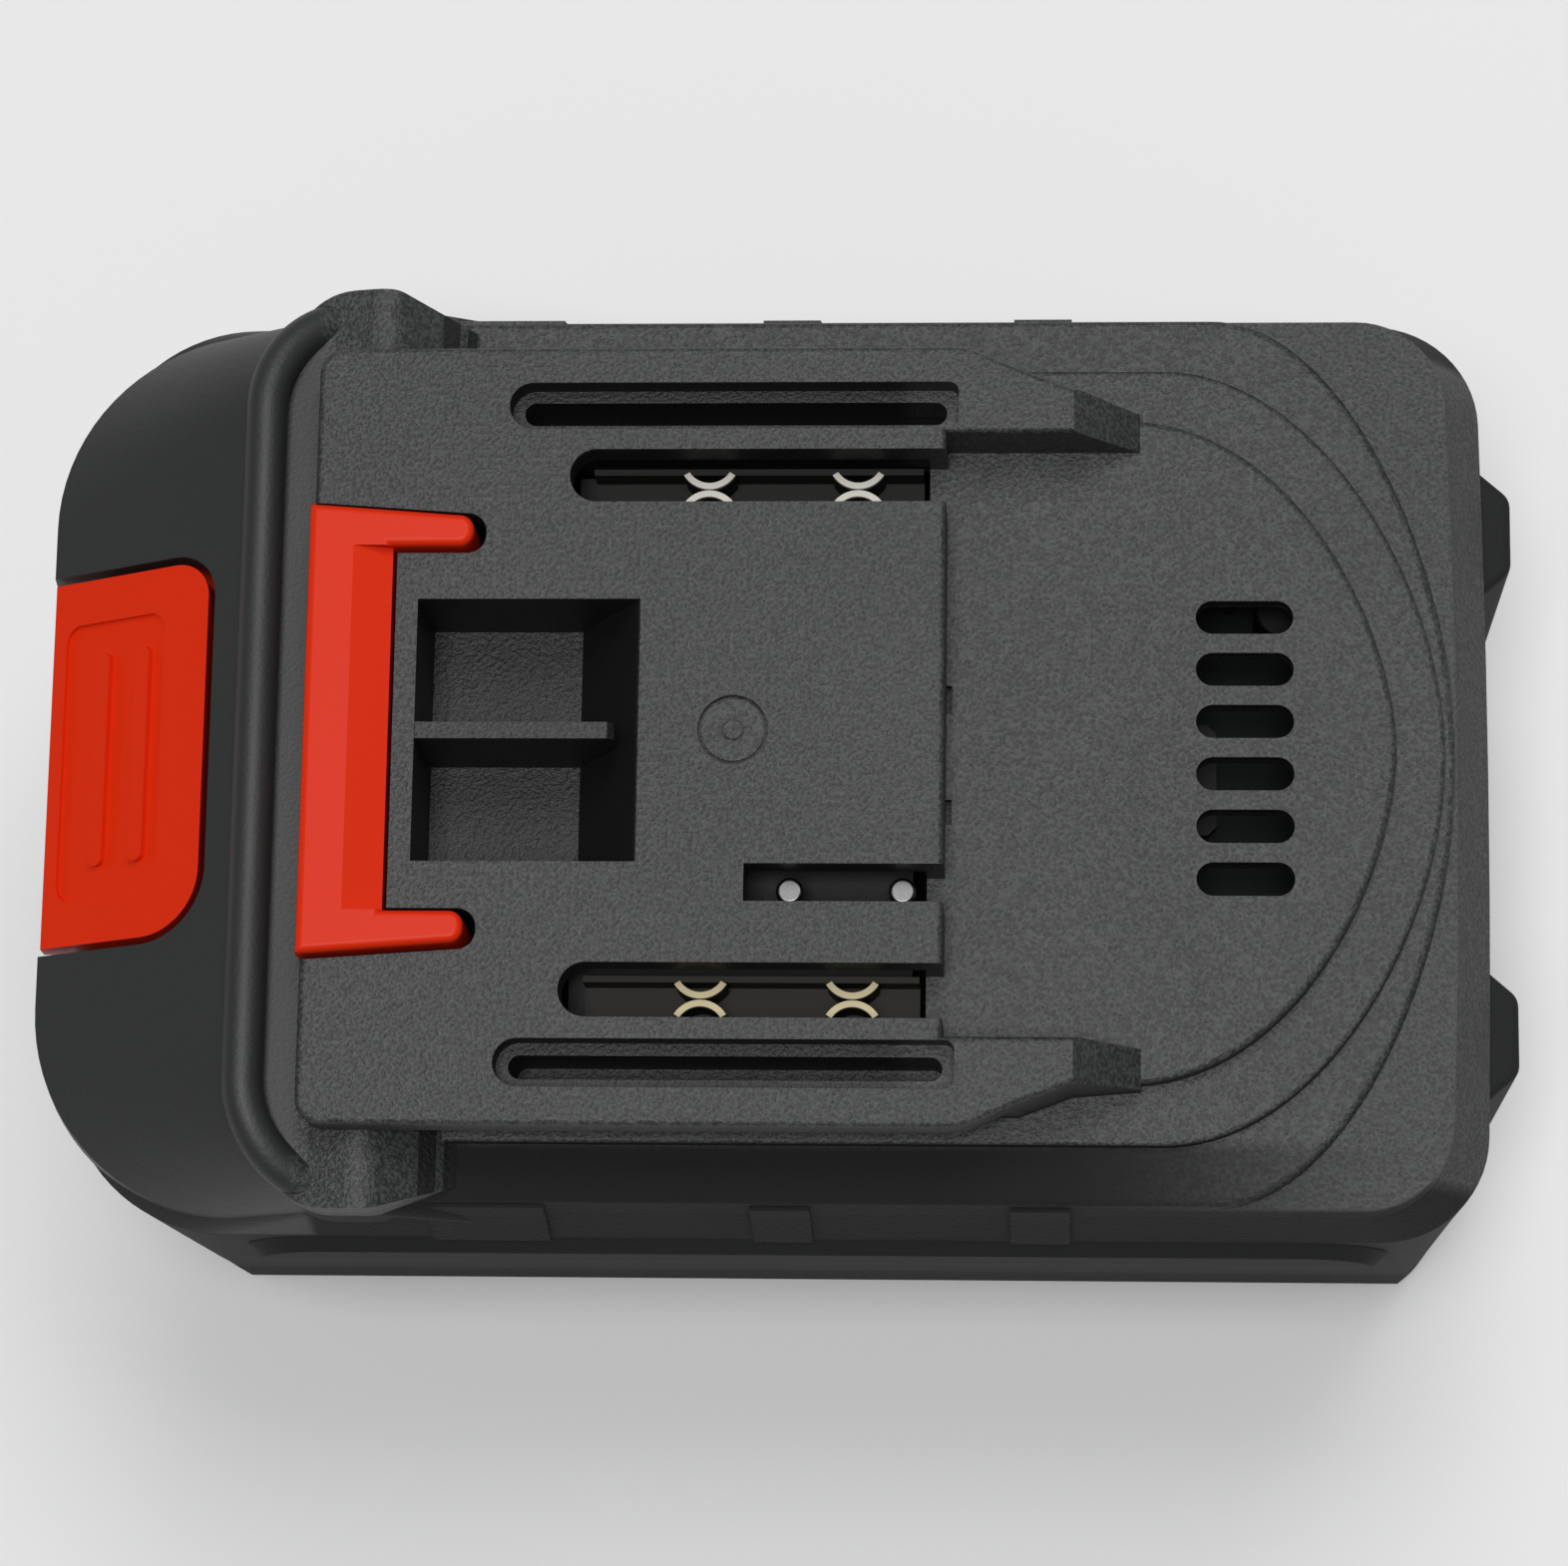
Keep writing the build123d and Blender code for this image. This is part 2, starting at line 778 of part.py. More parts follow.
def button_outline(gap):
    """Plan of the button: a pad that runs off the front of the nose, with two round rear corners."""
    x1 = run(-button_rear_run) + gap
    half = button_width / 2 + gap
    face = Polygon(
        (nose_x - overrun, -half), (x1, -half), (x1, half), (nose_x - overrun, half), align=None
    )
    left = face.vertices().sort_by_distance((x1, half, 0))[:1]
    face = fillet(left, button_corners[0] + gap)
    right = face.vertices().sort_by_distance((x1, -half, 0))[:1]
    return fillet(right, button_corners[1] + gap)


def upper_bosses():
    """Screw bosses that hang from the roof of the upper case."""
    solids = []
    for x, y in screw_places:
        solids.append(post(x, y, seam_z, level(deck_drop), boss_radius))
    return solids


def upper_outside():
    """Everything that the upper case shows, as one closed solid."""
    body = hood_solid(0) + rear_solid(0)
    for index in (2, 1, 0):
        body += deck_solid(index)
    body += plate_solid()
    body += valley_floor()
    body += mirrored(cheek())
    body += brow_bead()
    body += flank_ribs()
    above = block(nose_x - overrun, case_rear, -pack_width, pack_width, seam_z, plate_top + overrun)
    return body & above


def upper_case():
    """Upper moulding with its rails, deck, hood, pocket and slots."""
    outside = upper_outside()
    shell = outside - upper_core()
    tub = pocket_shape(-pocket_wall, plate_top + overrun) & outside
    shell += tub
    for solid in upper_bosses():
        shell += solid & outside
    shell -= pocket_shape(0, plate_top + overrun)
    shell += pocket_divider()
    for cut in slot_cuts() + vent_cuts() + notch_cuts():
        shell -= cut
    shell -= gate_cut()
    shell -= prism(hook_outline(hook_gap, hook_tip_gap), seam_z, plate_top + overrun)
    shell -= prism(button_outline(button_gap), seam_z - overrun, plate_top + overrun)
    for x, y in screw_places:
        top = screw_seat_height + screw_length + touch_gap
        shell -= post(x, y, seam_z - overrun, top, screw_shank / 2 + pilot_clearance)
    return shell


# Lower case

def lower_face(inset):
    """Plan of the lower case at its rim, drawn in by the inset."""
    return shell_outline(
        lower_front + inset, case_rear - inset, lower_half - inset, lower_crown, lower_front_radius - inset,
        lower_rear_radius - inset,
    )


def flank_limits(inset):
    """The room between the two leaning flanks, drawn in by the inset."""
    side = [
        (flank_base_half - inset, -overrun),
        (flank_base_half - inset, flank_base_z),
        (flank_knee_half - inset, flank_knee_z),
        (flank_rim_half - inset, seam_z),
        (flank_rim_half - inset, seam_z + overrun * 2),
    ]
    other = [(-y, z) for y, z in reversed(side)]
    face = Plane.YZ * Polygon(*side, *other, align=None)
    return Pos(-pack_length / 2, 0, 0) * extrude(face, amount=pack_length, dir=(1, 0, 0))


def lower_outside():
    """Drafted tub with leaning flanks, a rounded rim and a rounded base edge."""
    body = extrude(Pos(0, 0, seam_z) * lower_face(0), amount=-seam_z, taper=lower_draft)
    body &= flank_limits(0)
    base = body.faces().sort_by(Axis.Z)[0].edges()
    body = fillet(base, lower_base_round)
    rim = body.faces().sort_by(Axis.Z)[-1].edges()
    return fillet(rim, lower_rim_round)


def side_pad():
    """Raised panel under the rim of the lower case, which leans in until it meets the flank."""
    x0 = lower_front + pad_start
    x1 = case_rear - pad_end
    z0 = pad_base_gap
    z1 = seam_z - pad_top_gap
    plane = Plane(origin=(0, 0, 0), x_dir=(1, 0, 0), z_dir=(0, -1, 0))
    half = pack_width / 2
    face = Pos((x0 + x1) / 2, (z0 + z1) / 2) * RectangleRounded(x1 - x0, z1 - z0, pad_corner)
    pad = extrude(plane * face, amount=half)
    edge = pad.faces().sort_by(Axis.Y)[0].edges()
    pad = chamfer(edge, pad_proud)
    lean = Plane.YZ * Polygon(
        (-half - overrun, z1 + overrun), (-half, z1 - pad_lean_gap), (-half + pad_lean, z0),
        (-half + pad_lean, z0 - overrun), (0, z0 - overrun), (0, z1 + overrun), align=None,
    )
    pad &= Pos(x0 - overrun, 0, 0) * extrude(lean, amount=x1 - x0 + 2 * overrun, dir=(1, 0, 0))
    inside = -cavity_half - flank_wall / 2
    return pad - block(x0 - overrun, x1 + overrun, inside, pack_width, z0 - overrun, z1 + overrun)


def bumper():
    """Rounded bumper on the rear wall."""
    z0 = bumper_base_gap
    z1 = seam_z - bumper_top_gap
    x0 = case_rear - case_wall / 2
    x1 = case_rear + bumper_proud
    half = bumper_width / 2
    y = bumper_offset
    face = Polygon(
        (x0, y - half), (case_rear, y - half), (x1, y - half + bumper_slant),
        (x1, y + half - bumper_slant), (case_rear, y + half), (x0, y + half), align=None,
    )
    tips = face.vertices().sort_by(Axis.X)[-2:]
    face = fillet(tips, bumper_round * 2)
    body = prism(face, z0, z1)
    ends = body.edges().group_by(Axis.Z)
    outer = [e for e in ends[0] + ends[-1] if e.center().X > case_rear + tiny_round]
    return fillet(outer, bumper_round)


def lower_case():
    """Lower tub with screw posts, spring pillars, flank pads and rear bumpers."""
    body = lower_outside()
    body += mirrored(side_pad())
    body += mirrored(bumper())
    hollow = extrude(
        Pos(0, 0, seam_z + overrun) * lower_face(case_wall),
        amount=-(seam_z + overrun - floor_z), taper=lower_draft
    )
    hollow &= flank_limits(flank_wall)
    outside = body
    body -= hollow
    for x, y in screw_places:
        body += post(x, y, 0, seam_z, boss_radius) & outside
    for side in (1, -1):
        y = side * spring_spacing / 2
        pillar = post(spring_x, y, 0, spring_seat_height, spring_diameter / 2)
        web = block(cavity_front - case_wall / 2, spring_x, y - spring_wire, y + spring_wire, floor_z / 2,
                    spring_seat_height)
        body += (pillar + web) & outside
        body += post(spring_x, y, spring_seat_height, spring_seat_height + spring_pin_height, spring_pin / 2)
    for x, y in screw_places:
        body -= post(x, y, -overrun, screw_seat_height, counterbore / 2)
        body -= post(x, y, screw_seat_height, seam_z + overrun, screw_hole / 2)
    half = button_width / 2 + button_gap
    window = block(nose_x, cavity_front + overrun, -half, half, latch_floor - latch_travel - button_gap,
                   seam_z + overrun)
    return body - window


def case_screws():
    """Four self-tapping screws that pull the two shells together from below."""
    group = []
    for x, y in screw_places:
        head = post(x, y, screw_seat_height - screw_head_height, screw_seat_height, screw_head / 2)
        shank = post(x, y, screw_seat_height, screw_seat_height + screw_length, screw_shank / 2)
        drive = post(x, y, screw_seat_height - screw_head_height - overrun,
                     screw_seat_height - screw_head_height / 2, screw_shank / 4)
        group.append(head + shank - drive)
    return Compound(group)


# Release latch

def button_solid():
    """Button pad: a thick skin of the hood's own slope, with a skirt down the front of the nose."""
    front = nose_x + hood_lip_setback
    skirt_foot = seam_z - button_skirt
    back = run(-button_rear_run)
    solid_hood = hood_solid(button_sink) & block(nose_x, run(0), -pack_width, pack_width, seam_z, plate_top)
    pad = solid_hood & prism(button_outline(0), seam_z - overrun, plate_top)
    skirt = block(
        front, front + button_wall, -button_skirt_half, button_skirt_half, skirt_foot,
        level(hood_lip_drop + button_skirt_lap),
    )
    inner = block(
        front + button_wall, back - button_wall, -button_width / 2 + button_wall,
        button_width / 2 - button_wall, skirt_foot, plate_top,
    )
    hollow = hood_solid(button_sink + button_wall)
    return pad + skirt - (hollow & inner)


def slope_plane(x):
    """Plane that lies on the button face, with its X axis running up the slope."""
    pitch = hood_pitch()
    brow_x = run(-hood_brow_run)
    drop = hood_brow_drop + button_sink / cos(pitch) + (brow_x - x) * tan(pitch)
    start = (x, 0, level(drop))
    return Plane(origin=start, x_dir=(cos(pitch), 0, sin(pitch)), z_dir=(-sin(pitch), 0, cos(pitch)))


def button_detail():
    """Sunk panel to cut, and the two grips that stand in it."""
    slope = cos(hood_pitch())
    front = nose_x + panel_front_gap
    rear = run(-button_rear_run) - panel_rear_gap
    length = (rear - front) / slope
    outline = slope_plane((front + rear) / 2) * RectangleRounded(length, panel_width, panel_corner)
    panel = extrude(outline, amount=-panel_depth) + extrude(outline, amount=overrun)
    grips = []
    for place in grip_runs:
        face = slope_plane(run(-place)) * (Rot(0, 0, 90) * SlotOverall(grip_length, grip_width))
        root = extrude(face, amount=-panel_depth - tiny_round)
        grips.append(root + extrude(face, amount=grip_height - panel_depth))
    return panel, grips


def hook_solid():
    """Hook: bar and arms that stand through the rail plate, sloped on the inner side."""
    foot = latch_floor
    body = prism(hook_outline(0, 0), foot, plate_top + hook_rise)
    top = body.faces().sort_by(Axis.Z)[-1].edges()
    body = fillet(top, hook_round)
    x0 = run(-hook_front_overhang) + hook_flat
    x1 = run(-hook_front_overhang) + hook_bar
    top_z = plate_top + hook_rise
    wedge = across(
        [(x0, top_z), (x1, top_z - hook_slope_drop), (x1 + tiny_round, top_z - hook_slope_drop),
         (x1 + tiny_round, top_z + overrun), (x0, top_z + overrun)],
        -hook_arm_inner / 2, hook_arm_inner / 2,
    )
    body -= wedge
    trim = block(x1 + touch_gap, run(hook_reach + overrun), -pack_width, pack_width,
                 foot - overrun, carriage_z + carriage_thickness)
    return body - trim


def release_latch():
    """One moulding: button, carriage under the hood and hook through the rail plate."""
    panel, grips = button_detail()
    button = button_solid() - panel
    for grip in grips:
        button += grip
    x1 = run(-hook_front_overhang) + hook_bar
    x0 = cavity_front + carriage_front_gap
    deck = block(x0, x1, -carriage_half, carriage_half, latch_floor, carriage_z)
    edge_x = run(-button_rear_run)
    half = button_width / 2
    rear_wall = block(edge_x - button_wall, edge_x, -half, half, latch_floor, carriage_z)
    body = button + deck + rear_wall + hook_solid()
    for side in (1, -1):
        y = side * spring_spacing / 2
        body += post(spring_x, y, latch_floor - spring_pin_height, latch_floor, spring_pin / 2)
    return body


def latch_spring(side):
    """Compression spring between a pillar of the lower case and the latch carriage."""
    foot = spring_seat_height + spring_wire / 2
    height = latch_floor - spring_seat_height - spring_wire
    radius = (spring_diameter - spring_wire) / 2
    path = Helix(pitch=height / spring_turns, height=height, radius=radius)
    section = Plane(origin=path @ 0, z_dir=path % 0) * RegularPolygon(spring_wire / 2, wire_sides)
    coil = sweep(section, path=path, is_frenet=True)
    return Pos(spring_x, side * spring_spacing / 2, foot) * coil


# Cells and their frame

def column_x(column):
    """Centre of a column of cells."""
    return block_centre + (column - (cell_columns - 1) / 2) * cell_pitch


def row_z(layer):
    """Centre height of a layer of cells."""
    return first_row_z + layer * cell_pitch


def cell(column, layer):
    """One cylindrical cell with a crimp groove and a raised cap; columns alternate end for end."""
    radius = cell_diameter / 2
    top = cell_half - cell_cap_height
    groove = top - cell_groove_inset
    outline = Polygon(
        (0, -cell_half), (radius - cell_edge, -cell_half), (radius, -cell_half + cell_edge),
        (radius, groove - cell_groove_width / 2), (radius - cell_groove, groove),
        (radius, groove + cell_groove_width / 2), (radius, top - cell_edge), (radius - cell_edge, top),
        (cell_cap_diameter / 2, top), (cell_cap_diameter / 2, cell_half), (0, cell_half), align=None,
    )
    solid = revolve(Plane.XZ * outline, axis=Axis.Z)
    turn = -90 if column % 2 else 90
    return Pos(column_x(column), 0, row_z(layer)) * Rot(turn, 0, 0) * solid


def cell_holder(side):
    """Frame with ten bores that grips one end of the cells and carries the circuit board."""
    outer = cell_half - holder_end_gap
    inner = outer - holder_depth
    x0 = holder_front
    x1 = holder_front + holder_length
    y0, y1 = sorted((side * inner, side * outer))
    body = block(x0, x1, y0, y1, holder_z, holder_top)
    for column in range(cell_columns):
        for layer in range(cell_layers):
            bore = Rot(90, 0, 0) * Cylinder(cell_diameter / 2 + bore_clearance, 2 * cell_half)
            body -= Pos(column_x(column), side * cell_half, row_z(layer)) * bore
    foot_x = (board_front + 2 * board_corner, board_rear - 2 * board_corner)
    for x in foot_x:
        y = side * (board_half - board_corner - boss_radius)
        body += post(x, y, holder_top, board_z, boss_radius)
    return body


def nickel_strip(side, columns):
    """Welded strip that joins the cells of one or two columns, with a tab up to the board."""
    y0, y1 = sorted((side * cell_half, side * (cell_half + strip_thickness)))
    half = strip_width / 2
    low = row_z(0) - half
    high = row_z(cell_layers - 1) + half
    body = None
    for column in columns:
        x = column_x(column)
        leg = block(x - half, x + half, y0, y1, low, high)
        body = leg if body is None else body + leg
    x_first = column_x(columns[0])
    x_last = column_x(columns[-1])
    for layer in range(cell_layers):
        z = row_z(layer)
        if len(columns) > 1:
            body += block(x_first, x_last, y0, y1, z - half, z + half)
    x = (x_first + x_last) / 2
    tab = strip_tab_width / 2
    body += block(x - tab, x + tab, y0, y1, row_z(cell_layers - 1), board_top + strip_tab_rise)
    return body


def insulation_sheet(side):
    """Fibre sheet between the welded strips and the wall of the case."""
    near = cell_half + strip_thickness + touch_gap
    y0, y1 = sorted((side * near, side * (near + paper_thickness)))
    return block(holder_front + paper_margin, holder_front + holder_length - paper_margin, y0, y1,
                 holder_z + paper_margin, holder_top)


def base_pad():
    """Foam sheet under the cell frames."""
    x0 = holder_front + pad_margin
    x1 = holder_front + holder_length - pad_margin
    return block(x0, x1, -cell_half + pad_margin, cell_half - pad_margin, floor_z, holder_z)


# Circuit board

def circuit_board():
    """Board that rests on the feet of both cell holders."""
    x0 = board_front
    x1 = board_rear
    face = Pos((x0 + x1) / 2, 0) * RectangleRounded(x1 - x0, 2 * board_half, board_corner)
    return prism(face, board_z, board_top)


def control_chip():
    """Protection controller on the board."""
    x = chip_x
    half = chip_size / 2
    body = block(x - half, x + half, -half, half, board_top, board_top + chip_height)
    return chamfer(body.edges().filter_by(Axis.Z), chip_height / 2)


def current_shunt():
    """Bent strip that measures the current."""
    x0 = chip_x - shunt_length / 2
    x1 = x0 + shunt_length
    y0 = shunt_offset - shunt_width / 2
    y1 = shunt_offset + shunt_width / 2
    whole = block(x0, x1, y0, y1, board_top, board_top + shunt_height)
    under = board_top + shunt_height - shunt_thickness
    gap = block(x0 + shunt_thickness, x1 - shunt_thickness, y0, y1, board_top, under)
    return whole - gap


def power_transistors():
    """Two power transistors side by side, each with its metal tab."""
    group = []
    for index in range(2):
        x = chip_x + (index - 0.5) * mosfet_pitch
        y = mosfet_offset
        body = block(x - mosfet_length / 2, x + mosfet_length / 2,
                     y - mosfet_width / 2, y + mosfet_width / 2,
                     board_top, board_top + mosfet_height)
        tab = block(x - mosfet_length / 2, x + mosfet_length / 2, y - mosfet_width / 2 - mosfet_tab,
                    y - mosfet_width / 2, board_top, board_top + mosfet_height / 2)
        group.append(body + tab)
    return Compound(group)


def smoothing_capacitor():
    """Upright can with a rounded top edge."""
    top = board_top + capacitor_height
    body = post(board_rear - capacitor_inset, capacitor_offset, board_top, top, capacitor_diameter / 2)
    return fillet(body.edges().sort_by(Axis.Z)[-1:], chip_height / 4)


def thermistor():
    """Temperature sensor that lies in the valley between two upper cells."""
    x = column_x(thermistor_column)
    rise = (cell_diameter / 2 + thermistor_diameter / 2 + touch_gap / 2) ** 2 - (cell_pitch / 2) ** 2
    z = row_z(cell_layers - 1) + rise ** 0.5
    body = Rot(90, 0, 0) * Cylinder(thermistor_diameter / 2, thermistor_length)
    return Pos(x, 0, z) * body


# Terminals

def fork_leaf(x, y, side):
    """One bowed leaf of a fork: it starts at the channel wall and bows in to the middle."""
    half = fork_length / 2
    spread = side * fork_spread / 2
    pinch = side * (fork_pinch + sheet_metal) / 2
    line = ThreePointArc((x - half, y + spread), (x, y + pinch), (x + half, y + spread))
    face = trace(line, line_width=sheet_metal)
    return prism(face, level(channel_floor_drop), level(contact_drop))


def blade_terminal(side):
    """Folded channel of sheet brass with two spring forks for the tool's blade."""
    y = side * blade_y
    x0 = run(blade_slot_start + channel_start_gap)
    x1 = step_x - channel_end_gap
    half = channel_width / 2
    floor = level(channel_floor_drop)
    body = block(x0, x1, y - half, y + half, floor - sheet_metal, floor)
    for edge in (-1, 1):
        inner = y + edge * (half - sheet_metal)
        outer = y + edge * half
        low, high = sorted((inner, outer))
        body += block(x0, x1, low, high, floor, level(channel_wall_drop))
        for centre in fork_runs:
            body += fork_leaf(run(centre), y, edge)
    leg = block(x1 - channel_width, x1 - channel_width / 2, y - half + sheet_metal, y + half - sheet_metal,
                board_top, floor)
    return body + leg


def signal_contacts():
    """Two turned pins that stand in the signal slot."""
    group = []
    for centre in signal_pin_runs:
        x = run(centre)
        y = -signal_slot_offset
        radius = signal_pin_diameter / 2
        pin = post(x, y, board_top, level(signal_pin_drop), radius)
        pin = fillet(pin.edges().sort_by(Axis.Z)[-1:], signal_pin_ring)
        group.append(pin)
    return Compound(group)


def terminal_block():
    """Insulating block that carries both blade terminals and the signal pins above the board."""
    half = blade_y + blade_slot_width / 2
    inner = blade_y - blade_slot_width / 2 - block_wall
    x0 = run(blade_slot_start)
    x1 = step_x - case_wall - block_clearance
    bridge = run(block_bridge_start)
    floor = level(channel_floor_drop) - sheet_metal
    low = board_top
    body = block(bridge, x1, -half, half, low, floor)
    for side in (1, -1):
        y0, y1 = sorted((side * inner, side * half))
        body += block(x0, x1, y0, y1, low, floor)
    body -= block(bridge + block_wall, x1 - block_wall, -inner, inner, low - overrun, floor - block_floor)
    for side in (1, -1):
        y = side * blade_y
        end = step_x - channel_end_gap
        slot = channel_width / 2 - sheet_metal
        inner = end - channel_width / 2
        body -= block(end - channel_width, inner, y - slot, y + slot, low - overrun, floor + overrun)
    for centre in signal_pin_runs:
        radius = signal_pin_diameter / 2
        body -= post(run(centre), -signal_slot_offset, low - overrun, floor + overrun, radius)
    return body


def write(name, solid):
    """Write one node and report its size."""
    export_step(solid, f"parts/{name}.step")
    print(name, "solids", len(solid.solids()), "volume", round(solid.volume))


def main():
    os.makedirs("parts", exist_ok=True)
    write("upper_case", upper_case())
    write("lower_case", lower_case())
    write("case_screws", case_screws())
    write("release_latch", release_latch())
    write("latch_spring_left", latch_spring(1))
    write("latch_spring_right", latch_spring(-1))
    number = 0
    for layer in range(cell_layers):
        for column in range(cell_columns):
            number += 1
            write(f"cell_{number:02d}", cell(column, layer))
    write("cell_holder_left", cell_holder(1))
    write("cell_holder_right", cell_holder(-1))
    columns = list(range(cell_columns))
    write("nickel_strip_left_front", nickel_strip(1, columns[:2]))
    write("nickel_strip_left_middle", nickel_strip(1, columns[2:-1]))
    write("nickel_strip_left_rear", nickel_strip(1, columns[-1:]))
    write("nickel_strip_right_front", nickel_strip(-1, columns[:1]))
    write("nickel_strip_right_middle", nickel_strip(-1, columns[1:-2]))
    write("nickel_strip_right_rear", nickel_strip(-1, columns[-2:]))
    write("insulation_sheet_left", insulation_sheet(1))
    write("insulation_sheet_right", insulation_sheet(-1))
    write("base_pad", base_pad())
    write("circuit_board", circuit_board())
    write("control_chip", control_chip())
    write("current_shunt", current_shunt())
    write("power_transistors", power_transistors())
    write("smoothing_capacitor", smoothing_capacitor())
    write("thermistor", thermistor())
    write("terminal_block", terminal_block())
    write("positive_terminal", blade_terminal(1))
    write("negative_terminal", blade_terminal(-1))
    write("signal_contacts", signal_contacts())
    pitch = (latch_floor - spring_seat_height - spring_wire) / spring_turns
    print("least gap between spring turns", round(pitch - spring_wire, 3))


main()
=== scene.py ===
# %% [markdown]
# # A slide-on battery pack on a pale table
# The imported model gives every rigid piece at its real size, in metres, with the resting face at
# height zero. This script gives those pieces their finishes, sets them on a plain floor under soft
# studio light, and looks down on them with a long lens. Each cell says what a finish is on the real
# pack before it makes it.

import bpy
import numpy as np
from mathutils import Matrix, Vector


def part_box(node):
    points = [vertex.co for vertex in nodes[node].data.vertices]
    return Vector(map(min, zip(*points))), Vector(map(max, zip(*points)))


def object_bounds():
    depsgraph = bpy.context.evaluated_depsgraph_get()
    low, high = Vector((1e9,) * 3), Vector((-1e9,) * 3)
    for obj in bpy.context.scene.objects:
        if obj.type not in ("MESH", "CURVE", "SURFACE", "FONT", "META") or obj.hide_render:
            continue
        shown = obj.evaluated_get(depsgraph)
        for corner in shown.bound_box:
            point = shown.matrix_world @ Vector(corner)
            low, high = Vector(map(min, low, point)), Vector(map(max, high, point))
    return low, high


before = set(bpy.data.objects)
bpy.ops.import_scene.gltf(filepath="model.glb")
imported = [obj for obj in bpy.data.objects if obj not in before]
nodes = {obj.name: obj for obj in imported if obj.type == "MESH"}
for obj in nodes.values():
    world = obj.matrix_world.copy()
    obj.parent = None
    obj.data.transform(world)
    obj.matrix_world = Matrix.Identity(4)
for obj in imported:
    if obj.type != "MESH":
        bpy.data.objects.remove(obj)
cad_low, cad_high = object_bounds()
MM = 0.001
print("pieces", len(nodes), "box", [round(v / MM, 1) for v in cad_high - cad_low])

# %% [markdown]
# Places that several finishes share are read from the model itself, so that they follow it when
# its sizes change. The rail plate is the highest flat face, and the hook stands a little over it.

# %% Shared places
hook_rise = 1.2 * MM
plate_top = cad_high.z - hook_rise
nose_x = cad_low.x
plate_front = nose_x + 23.4 * MM
leaf_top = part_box("negative_terminal")[1].z
print("plate top", round(plate_top / MM, 2), "leaf top", round(leaf_top / MM, 2))


# %% [markdown]
# Colours are written as the hex values that a screen shows. Shaders work in linear light, so one
# function turns the one into the other.

# %% Colour and node helpers
def linear(hex_colour):
    """Screen colour to linear light: low values are divided by 12.92, others raised to 2.4."""
    raw = [int(hex_colour[i : i + 2], 16) / 255 for i in (1, 3, 5)]
    lit = [c / 12.92 if c <= 0.04045 else ((c + 0.055) / 1.055) ** 2.4 for c in raw]
    return (*lit, 1.0)


def add(tree, kind, settings=None, **sockets):
    """Adds a node; each input, by name or as i and its number, gets a value or a link."""
    node = tree.nodes.new(kind)
    for name, value in (settings or {}).items():
        setattr(node, name, value)
    for name, value in sockets.items():
        numbered = name[0] == "i" and name[1:].isdigit()
        socket = node.inputs[int(name[1:]) if numbered else name]
        if isinstance(value, bpy.types.NodeSocket):
            tree.links.new(value, socket)
        else:
            socket.default_value = value
    return node


def finish(name, colour, roughness, metallic=0.0, shine=0.5):
    """A new material with one Principled shader; returns the material, its tree and the shader."""
    material = bpy.data.materials.new(name)
    material.use_nodes = True
    tree = material.node_tree
    shader = tree.nodes["Principled BSDF"]
    shader.inputs["Base Color"].default_value = linear(colour)
    shader.inputs["Roughness"].default_value = roughness
    shader.inputs["Metallic"].default_value = metallic
    shader.inputs["Specular IOR Level"].default_value = shine
    return material, tree, shader


def wear(material, *names):
    """Puts one material on the named pieces of the model."""
    for name in names:
        mesh = nodes[name].data
        mesh.materials.clear()
        mesh.materials.append(material)


# %% [markdown]
# Most finishes share one build: a tone that wanders a little and a fine unevenness of a real size
# and depth, both from one noise in the piece's own coordinates. A rolled or drawn metal has its
# grain pulled out along one axis. A picture of each surface could be laid on instead, but noise
# needs no unwrapping and stays sharp however near the eye comes.

# %% Grained finishes
def grained(name, colour, rough, grain, relief, sway=0.25, metallic=0.0, shine=0.5, pull=(1, 1, 1)):
    """A finish whose tone and height follow noise of one grain, pulled out along an axis."""
    material, tree, shader = finish(name, colour, rough, metallic, shine)
    place = add(tree, "ShaderNodeTexCoord").outputs["Object"]
    drawn = add(tree, "ShaderNodeMapping", Vector=place, Scale=pull).outputs["Vector"]
    noise = add(
        tree, "ShaderNodeTexNoise", Vector=drawn, Scale=1 / (grain * MM), Detail=2.0
    ).outputs["Fac"]
    darker = tuple(channel * (1 - sway) for channel in linear(colour)[:3]) + (1.0,)
    tone = add(
        tree, "ShaderNodeMix", {"data_type": "RGBA"}, Factor=noise, i6=darker, i7=linear(colour)
    ).outputs[2]
    tree.links.new(tone, shader.inputs["Base Color"])
    bump = add(tree, "ShaderNodeBump", Strength=1.0, Distance=relief * MM, Height=noise)
    tree.links.new(bump.outputs["Normal"], shader.inputs["Normal"])
    return material


# %% [markdown]
# ## The case
# Both shells are glass-filled nylon, moulded in a tool whose walls were spark-eroded. That leaves
# a skin of tiny rounded pits which scatters light, so the flat faces look a soft grey, with paler
# specks where the skin stands highest; the specks are partly the skin's own tone and partly a
# painted highlight on the pits' tops. The hood at the button end is smoother and looks darker.
# Other areas get painted shade in a darker tone: the flanks below the rim, which are also matt,
# the ledge on the right-hand side, which is seen nearly black from above and is also matt, the
# pockets and slots sunk into the rail plate, the upright faces between the deck's steps, and the
# rings of the moulding gate on the plate. Each area is a product of steps in the
# piece's own coordinates. The pits are noise in those coordinates too, a fine one over a slower
# one, and they fade out over the hood. They are drawn a little coarser than the real ones, so that
# they show at the size of the picture. The areas could have been separate materials on chosen
# faces, but the steps need no list of faces and can fade.

# %% Smooth steps in the piece's own coordinates
def ramp(tree, value, start, end):
    """A smooth step from nought at start to one at end; start may be the larger."""
    return add(
        tree, "ShaderNodeMapRange", {"interpolation_type": "SMOOTHSTEP"},
        Value=value, **{"From Min": start, "From Max": end},
    ).outputs["Result"]


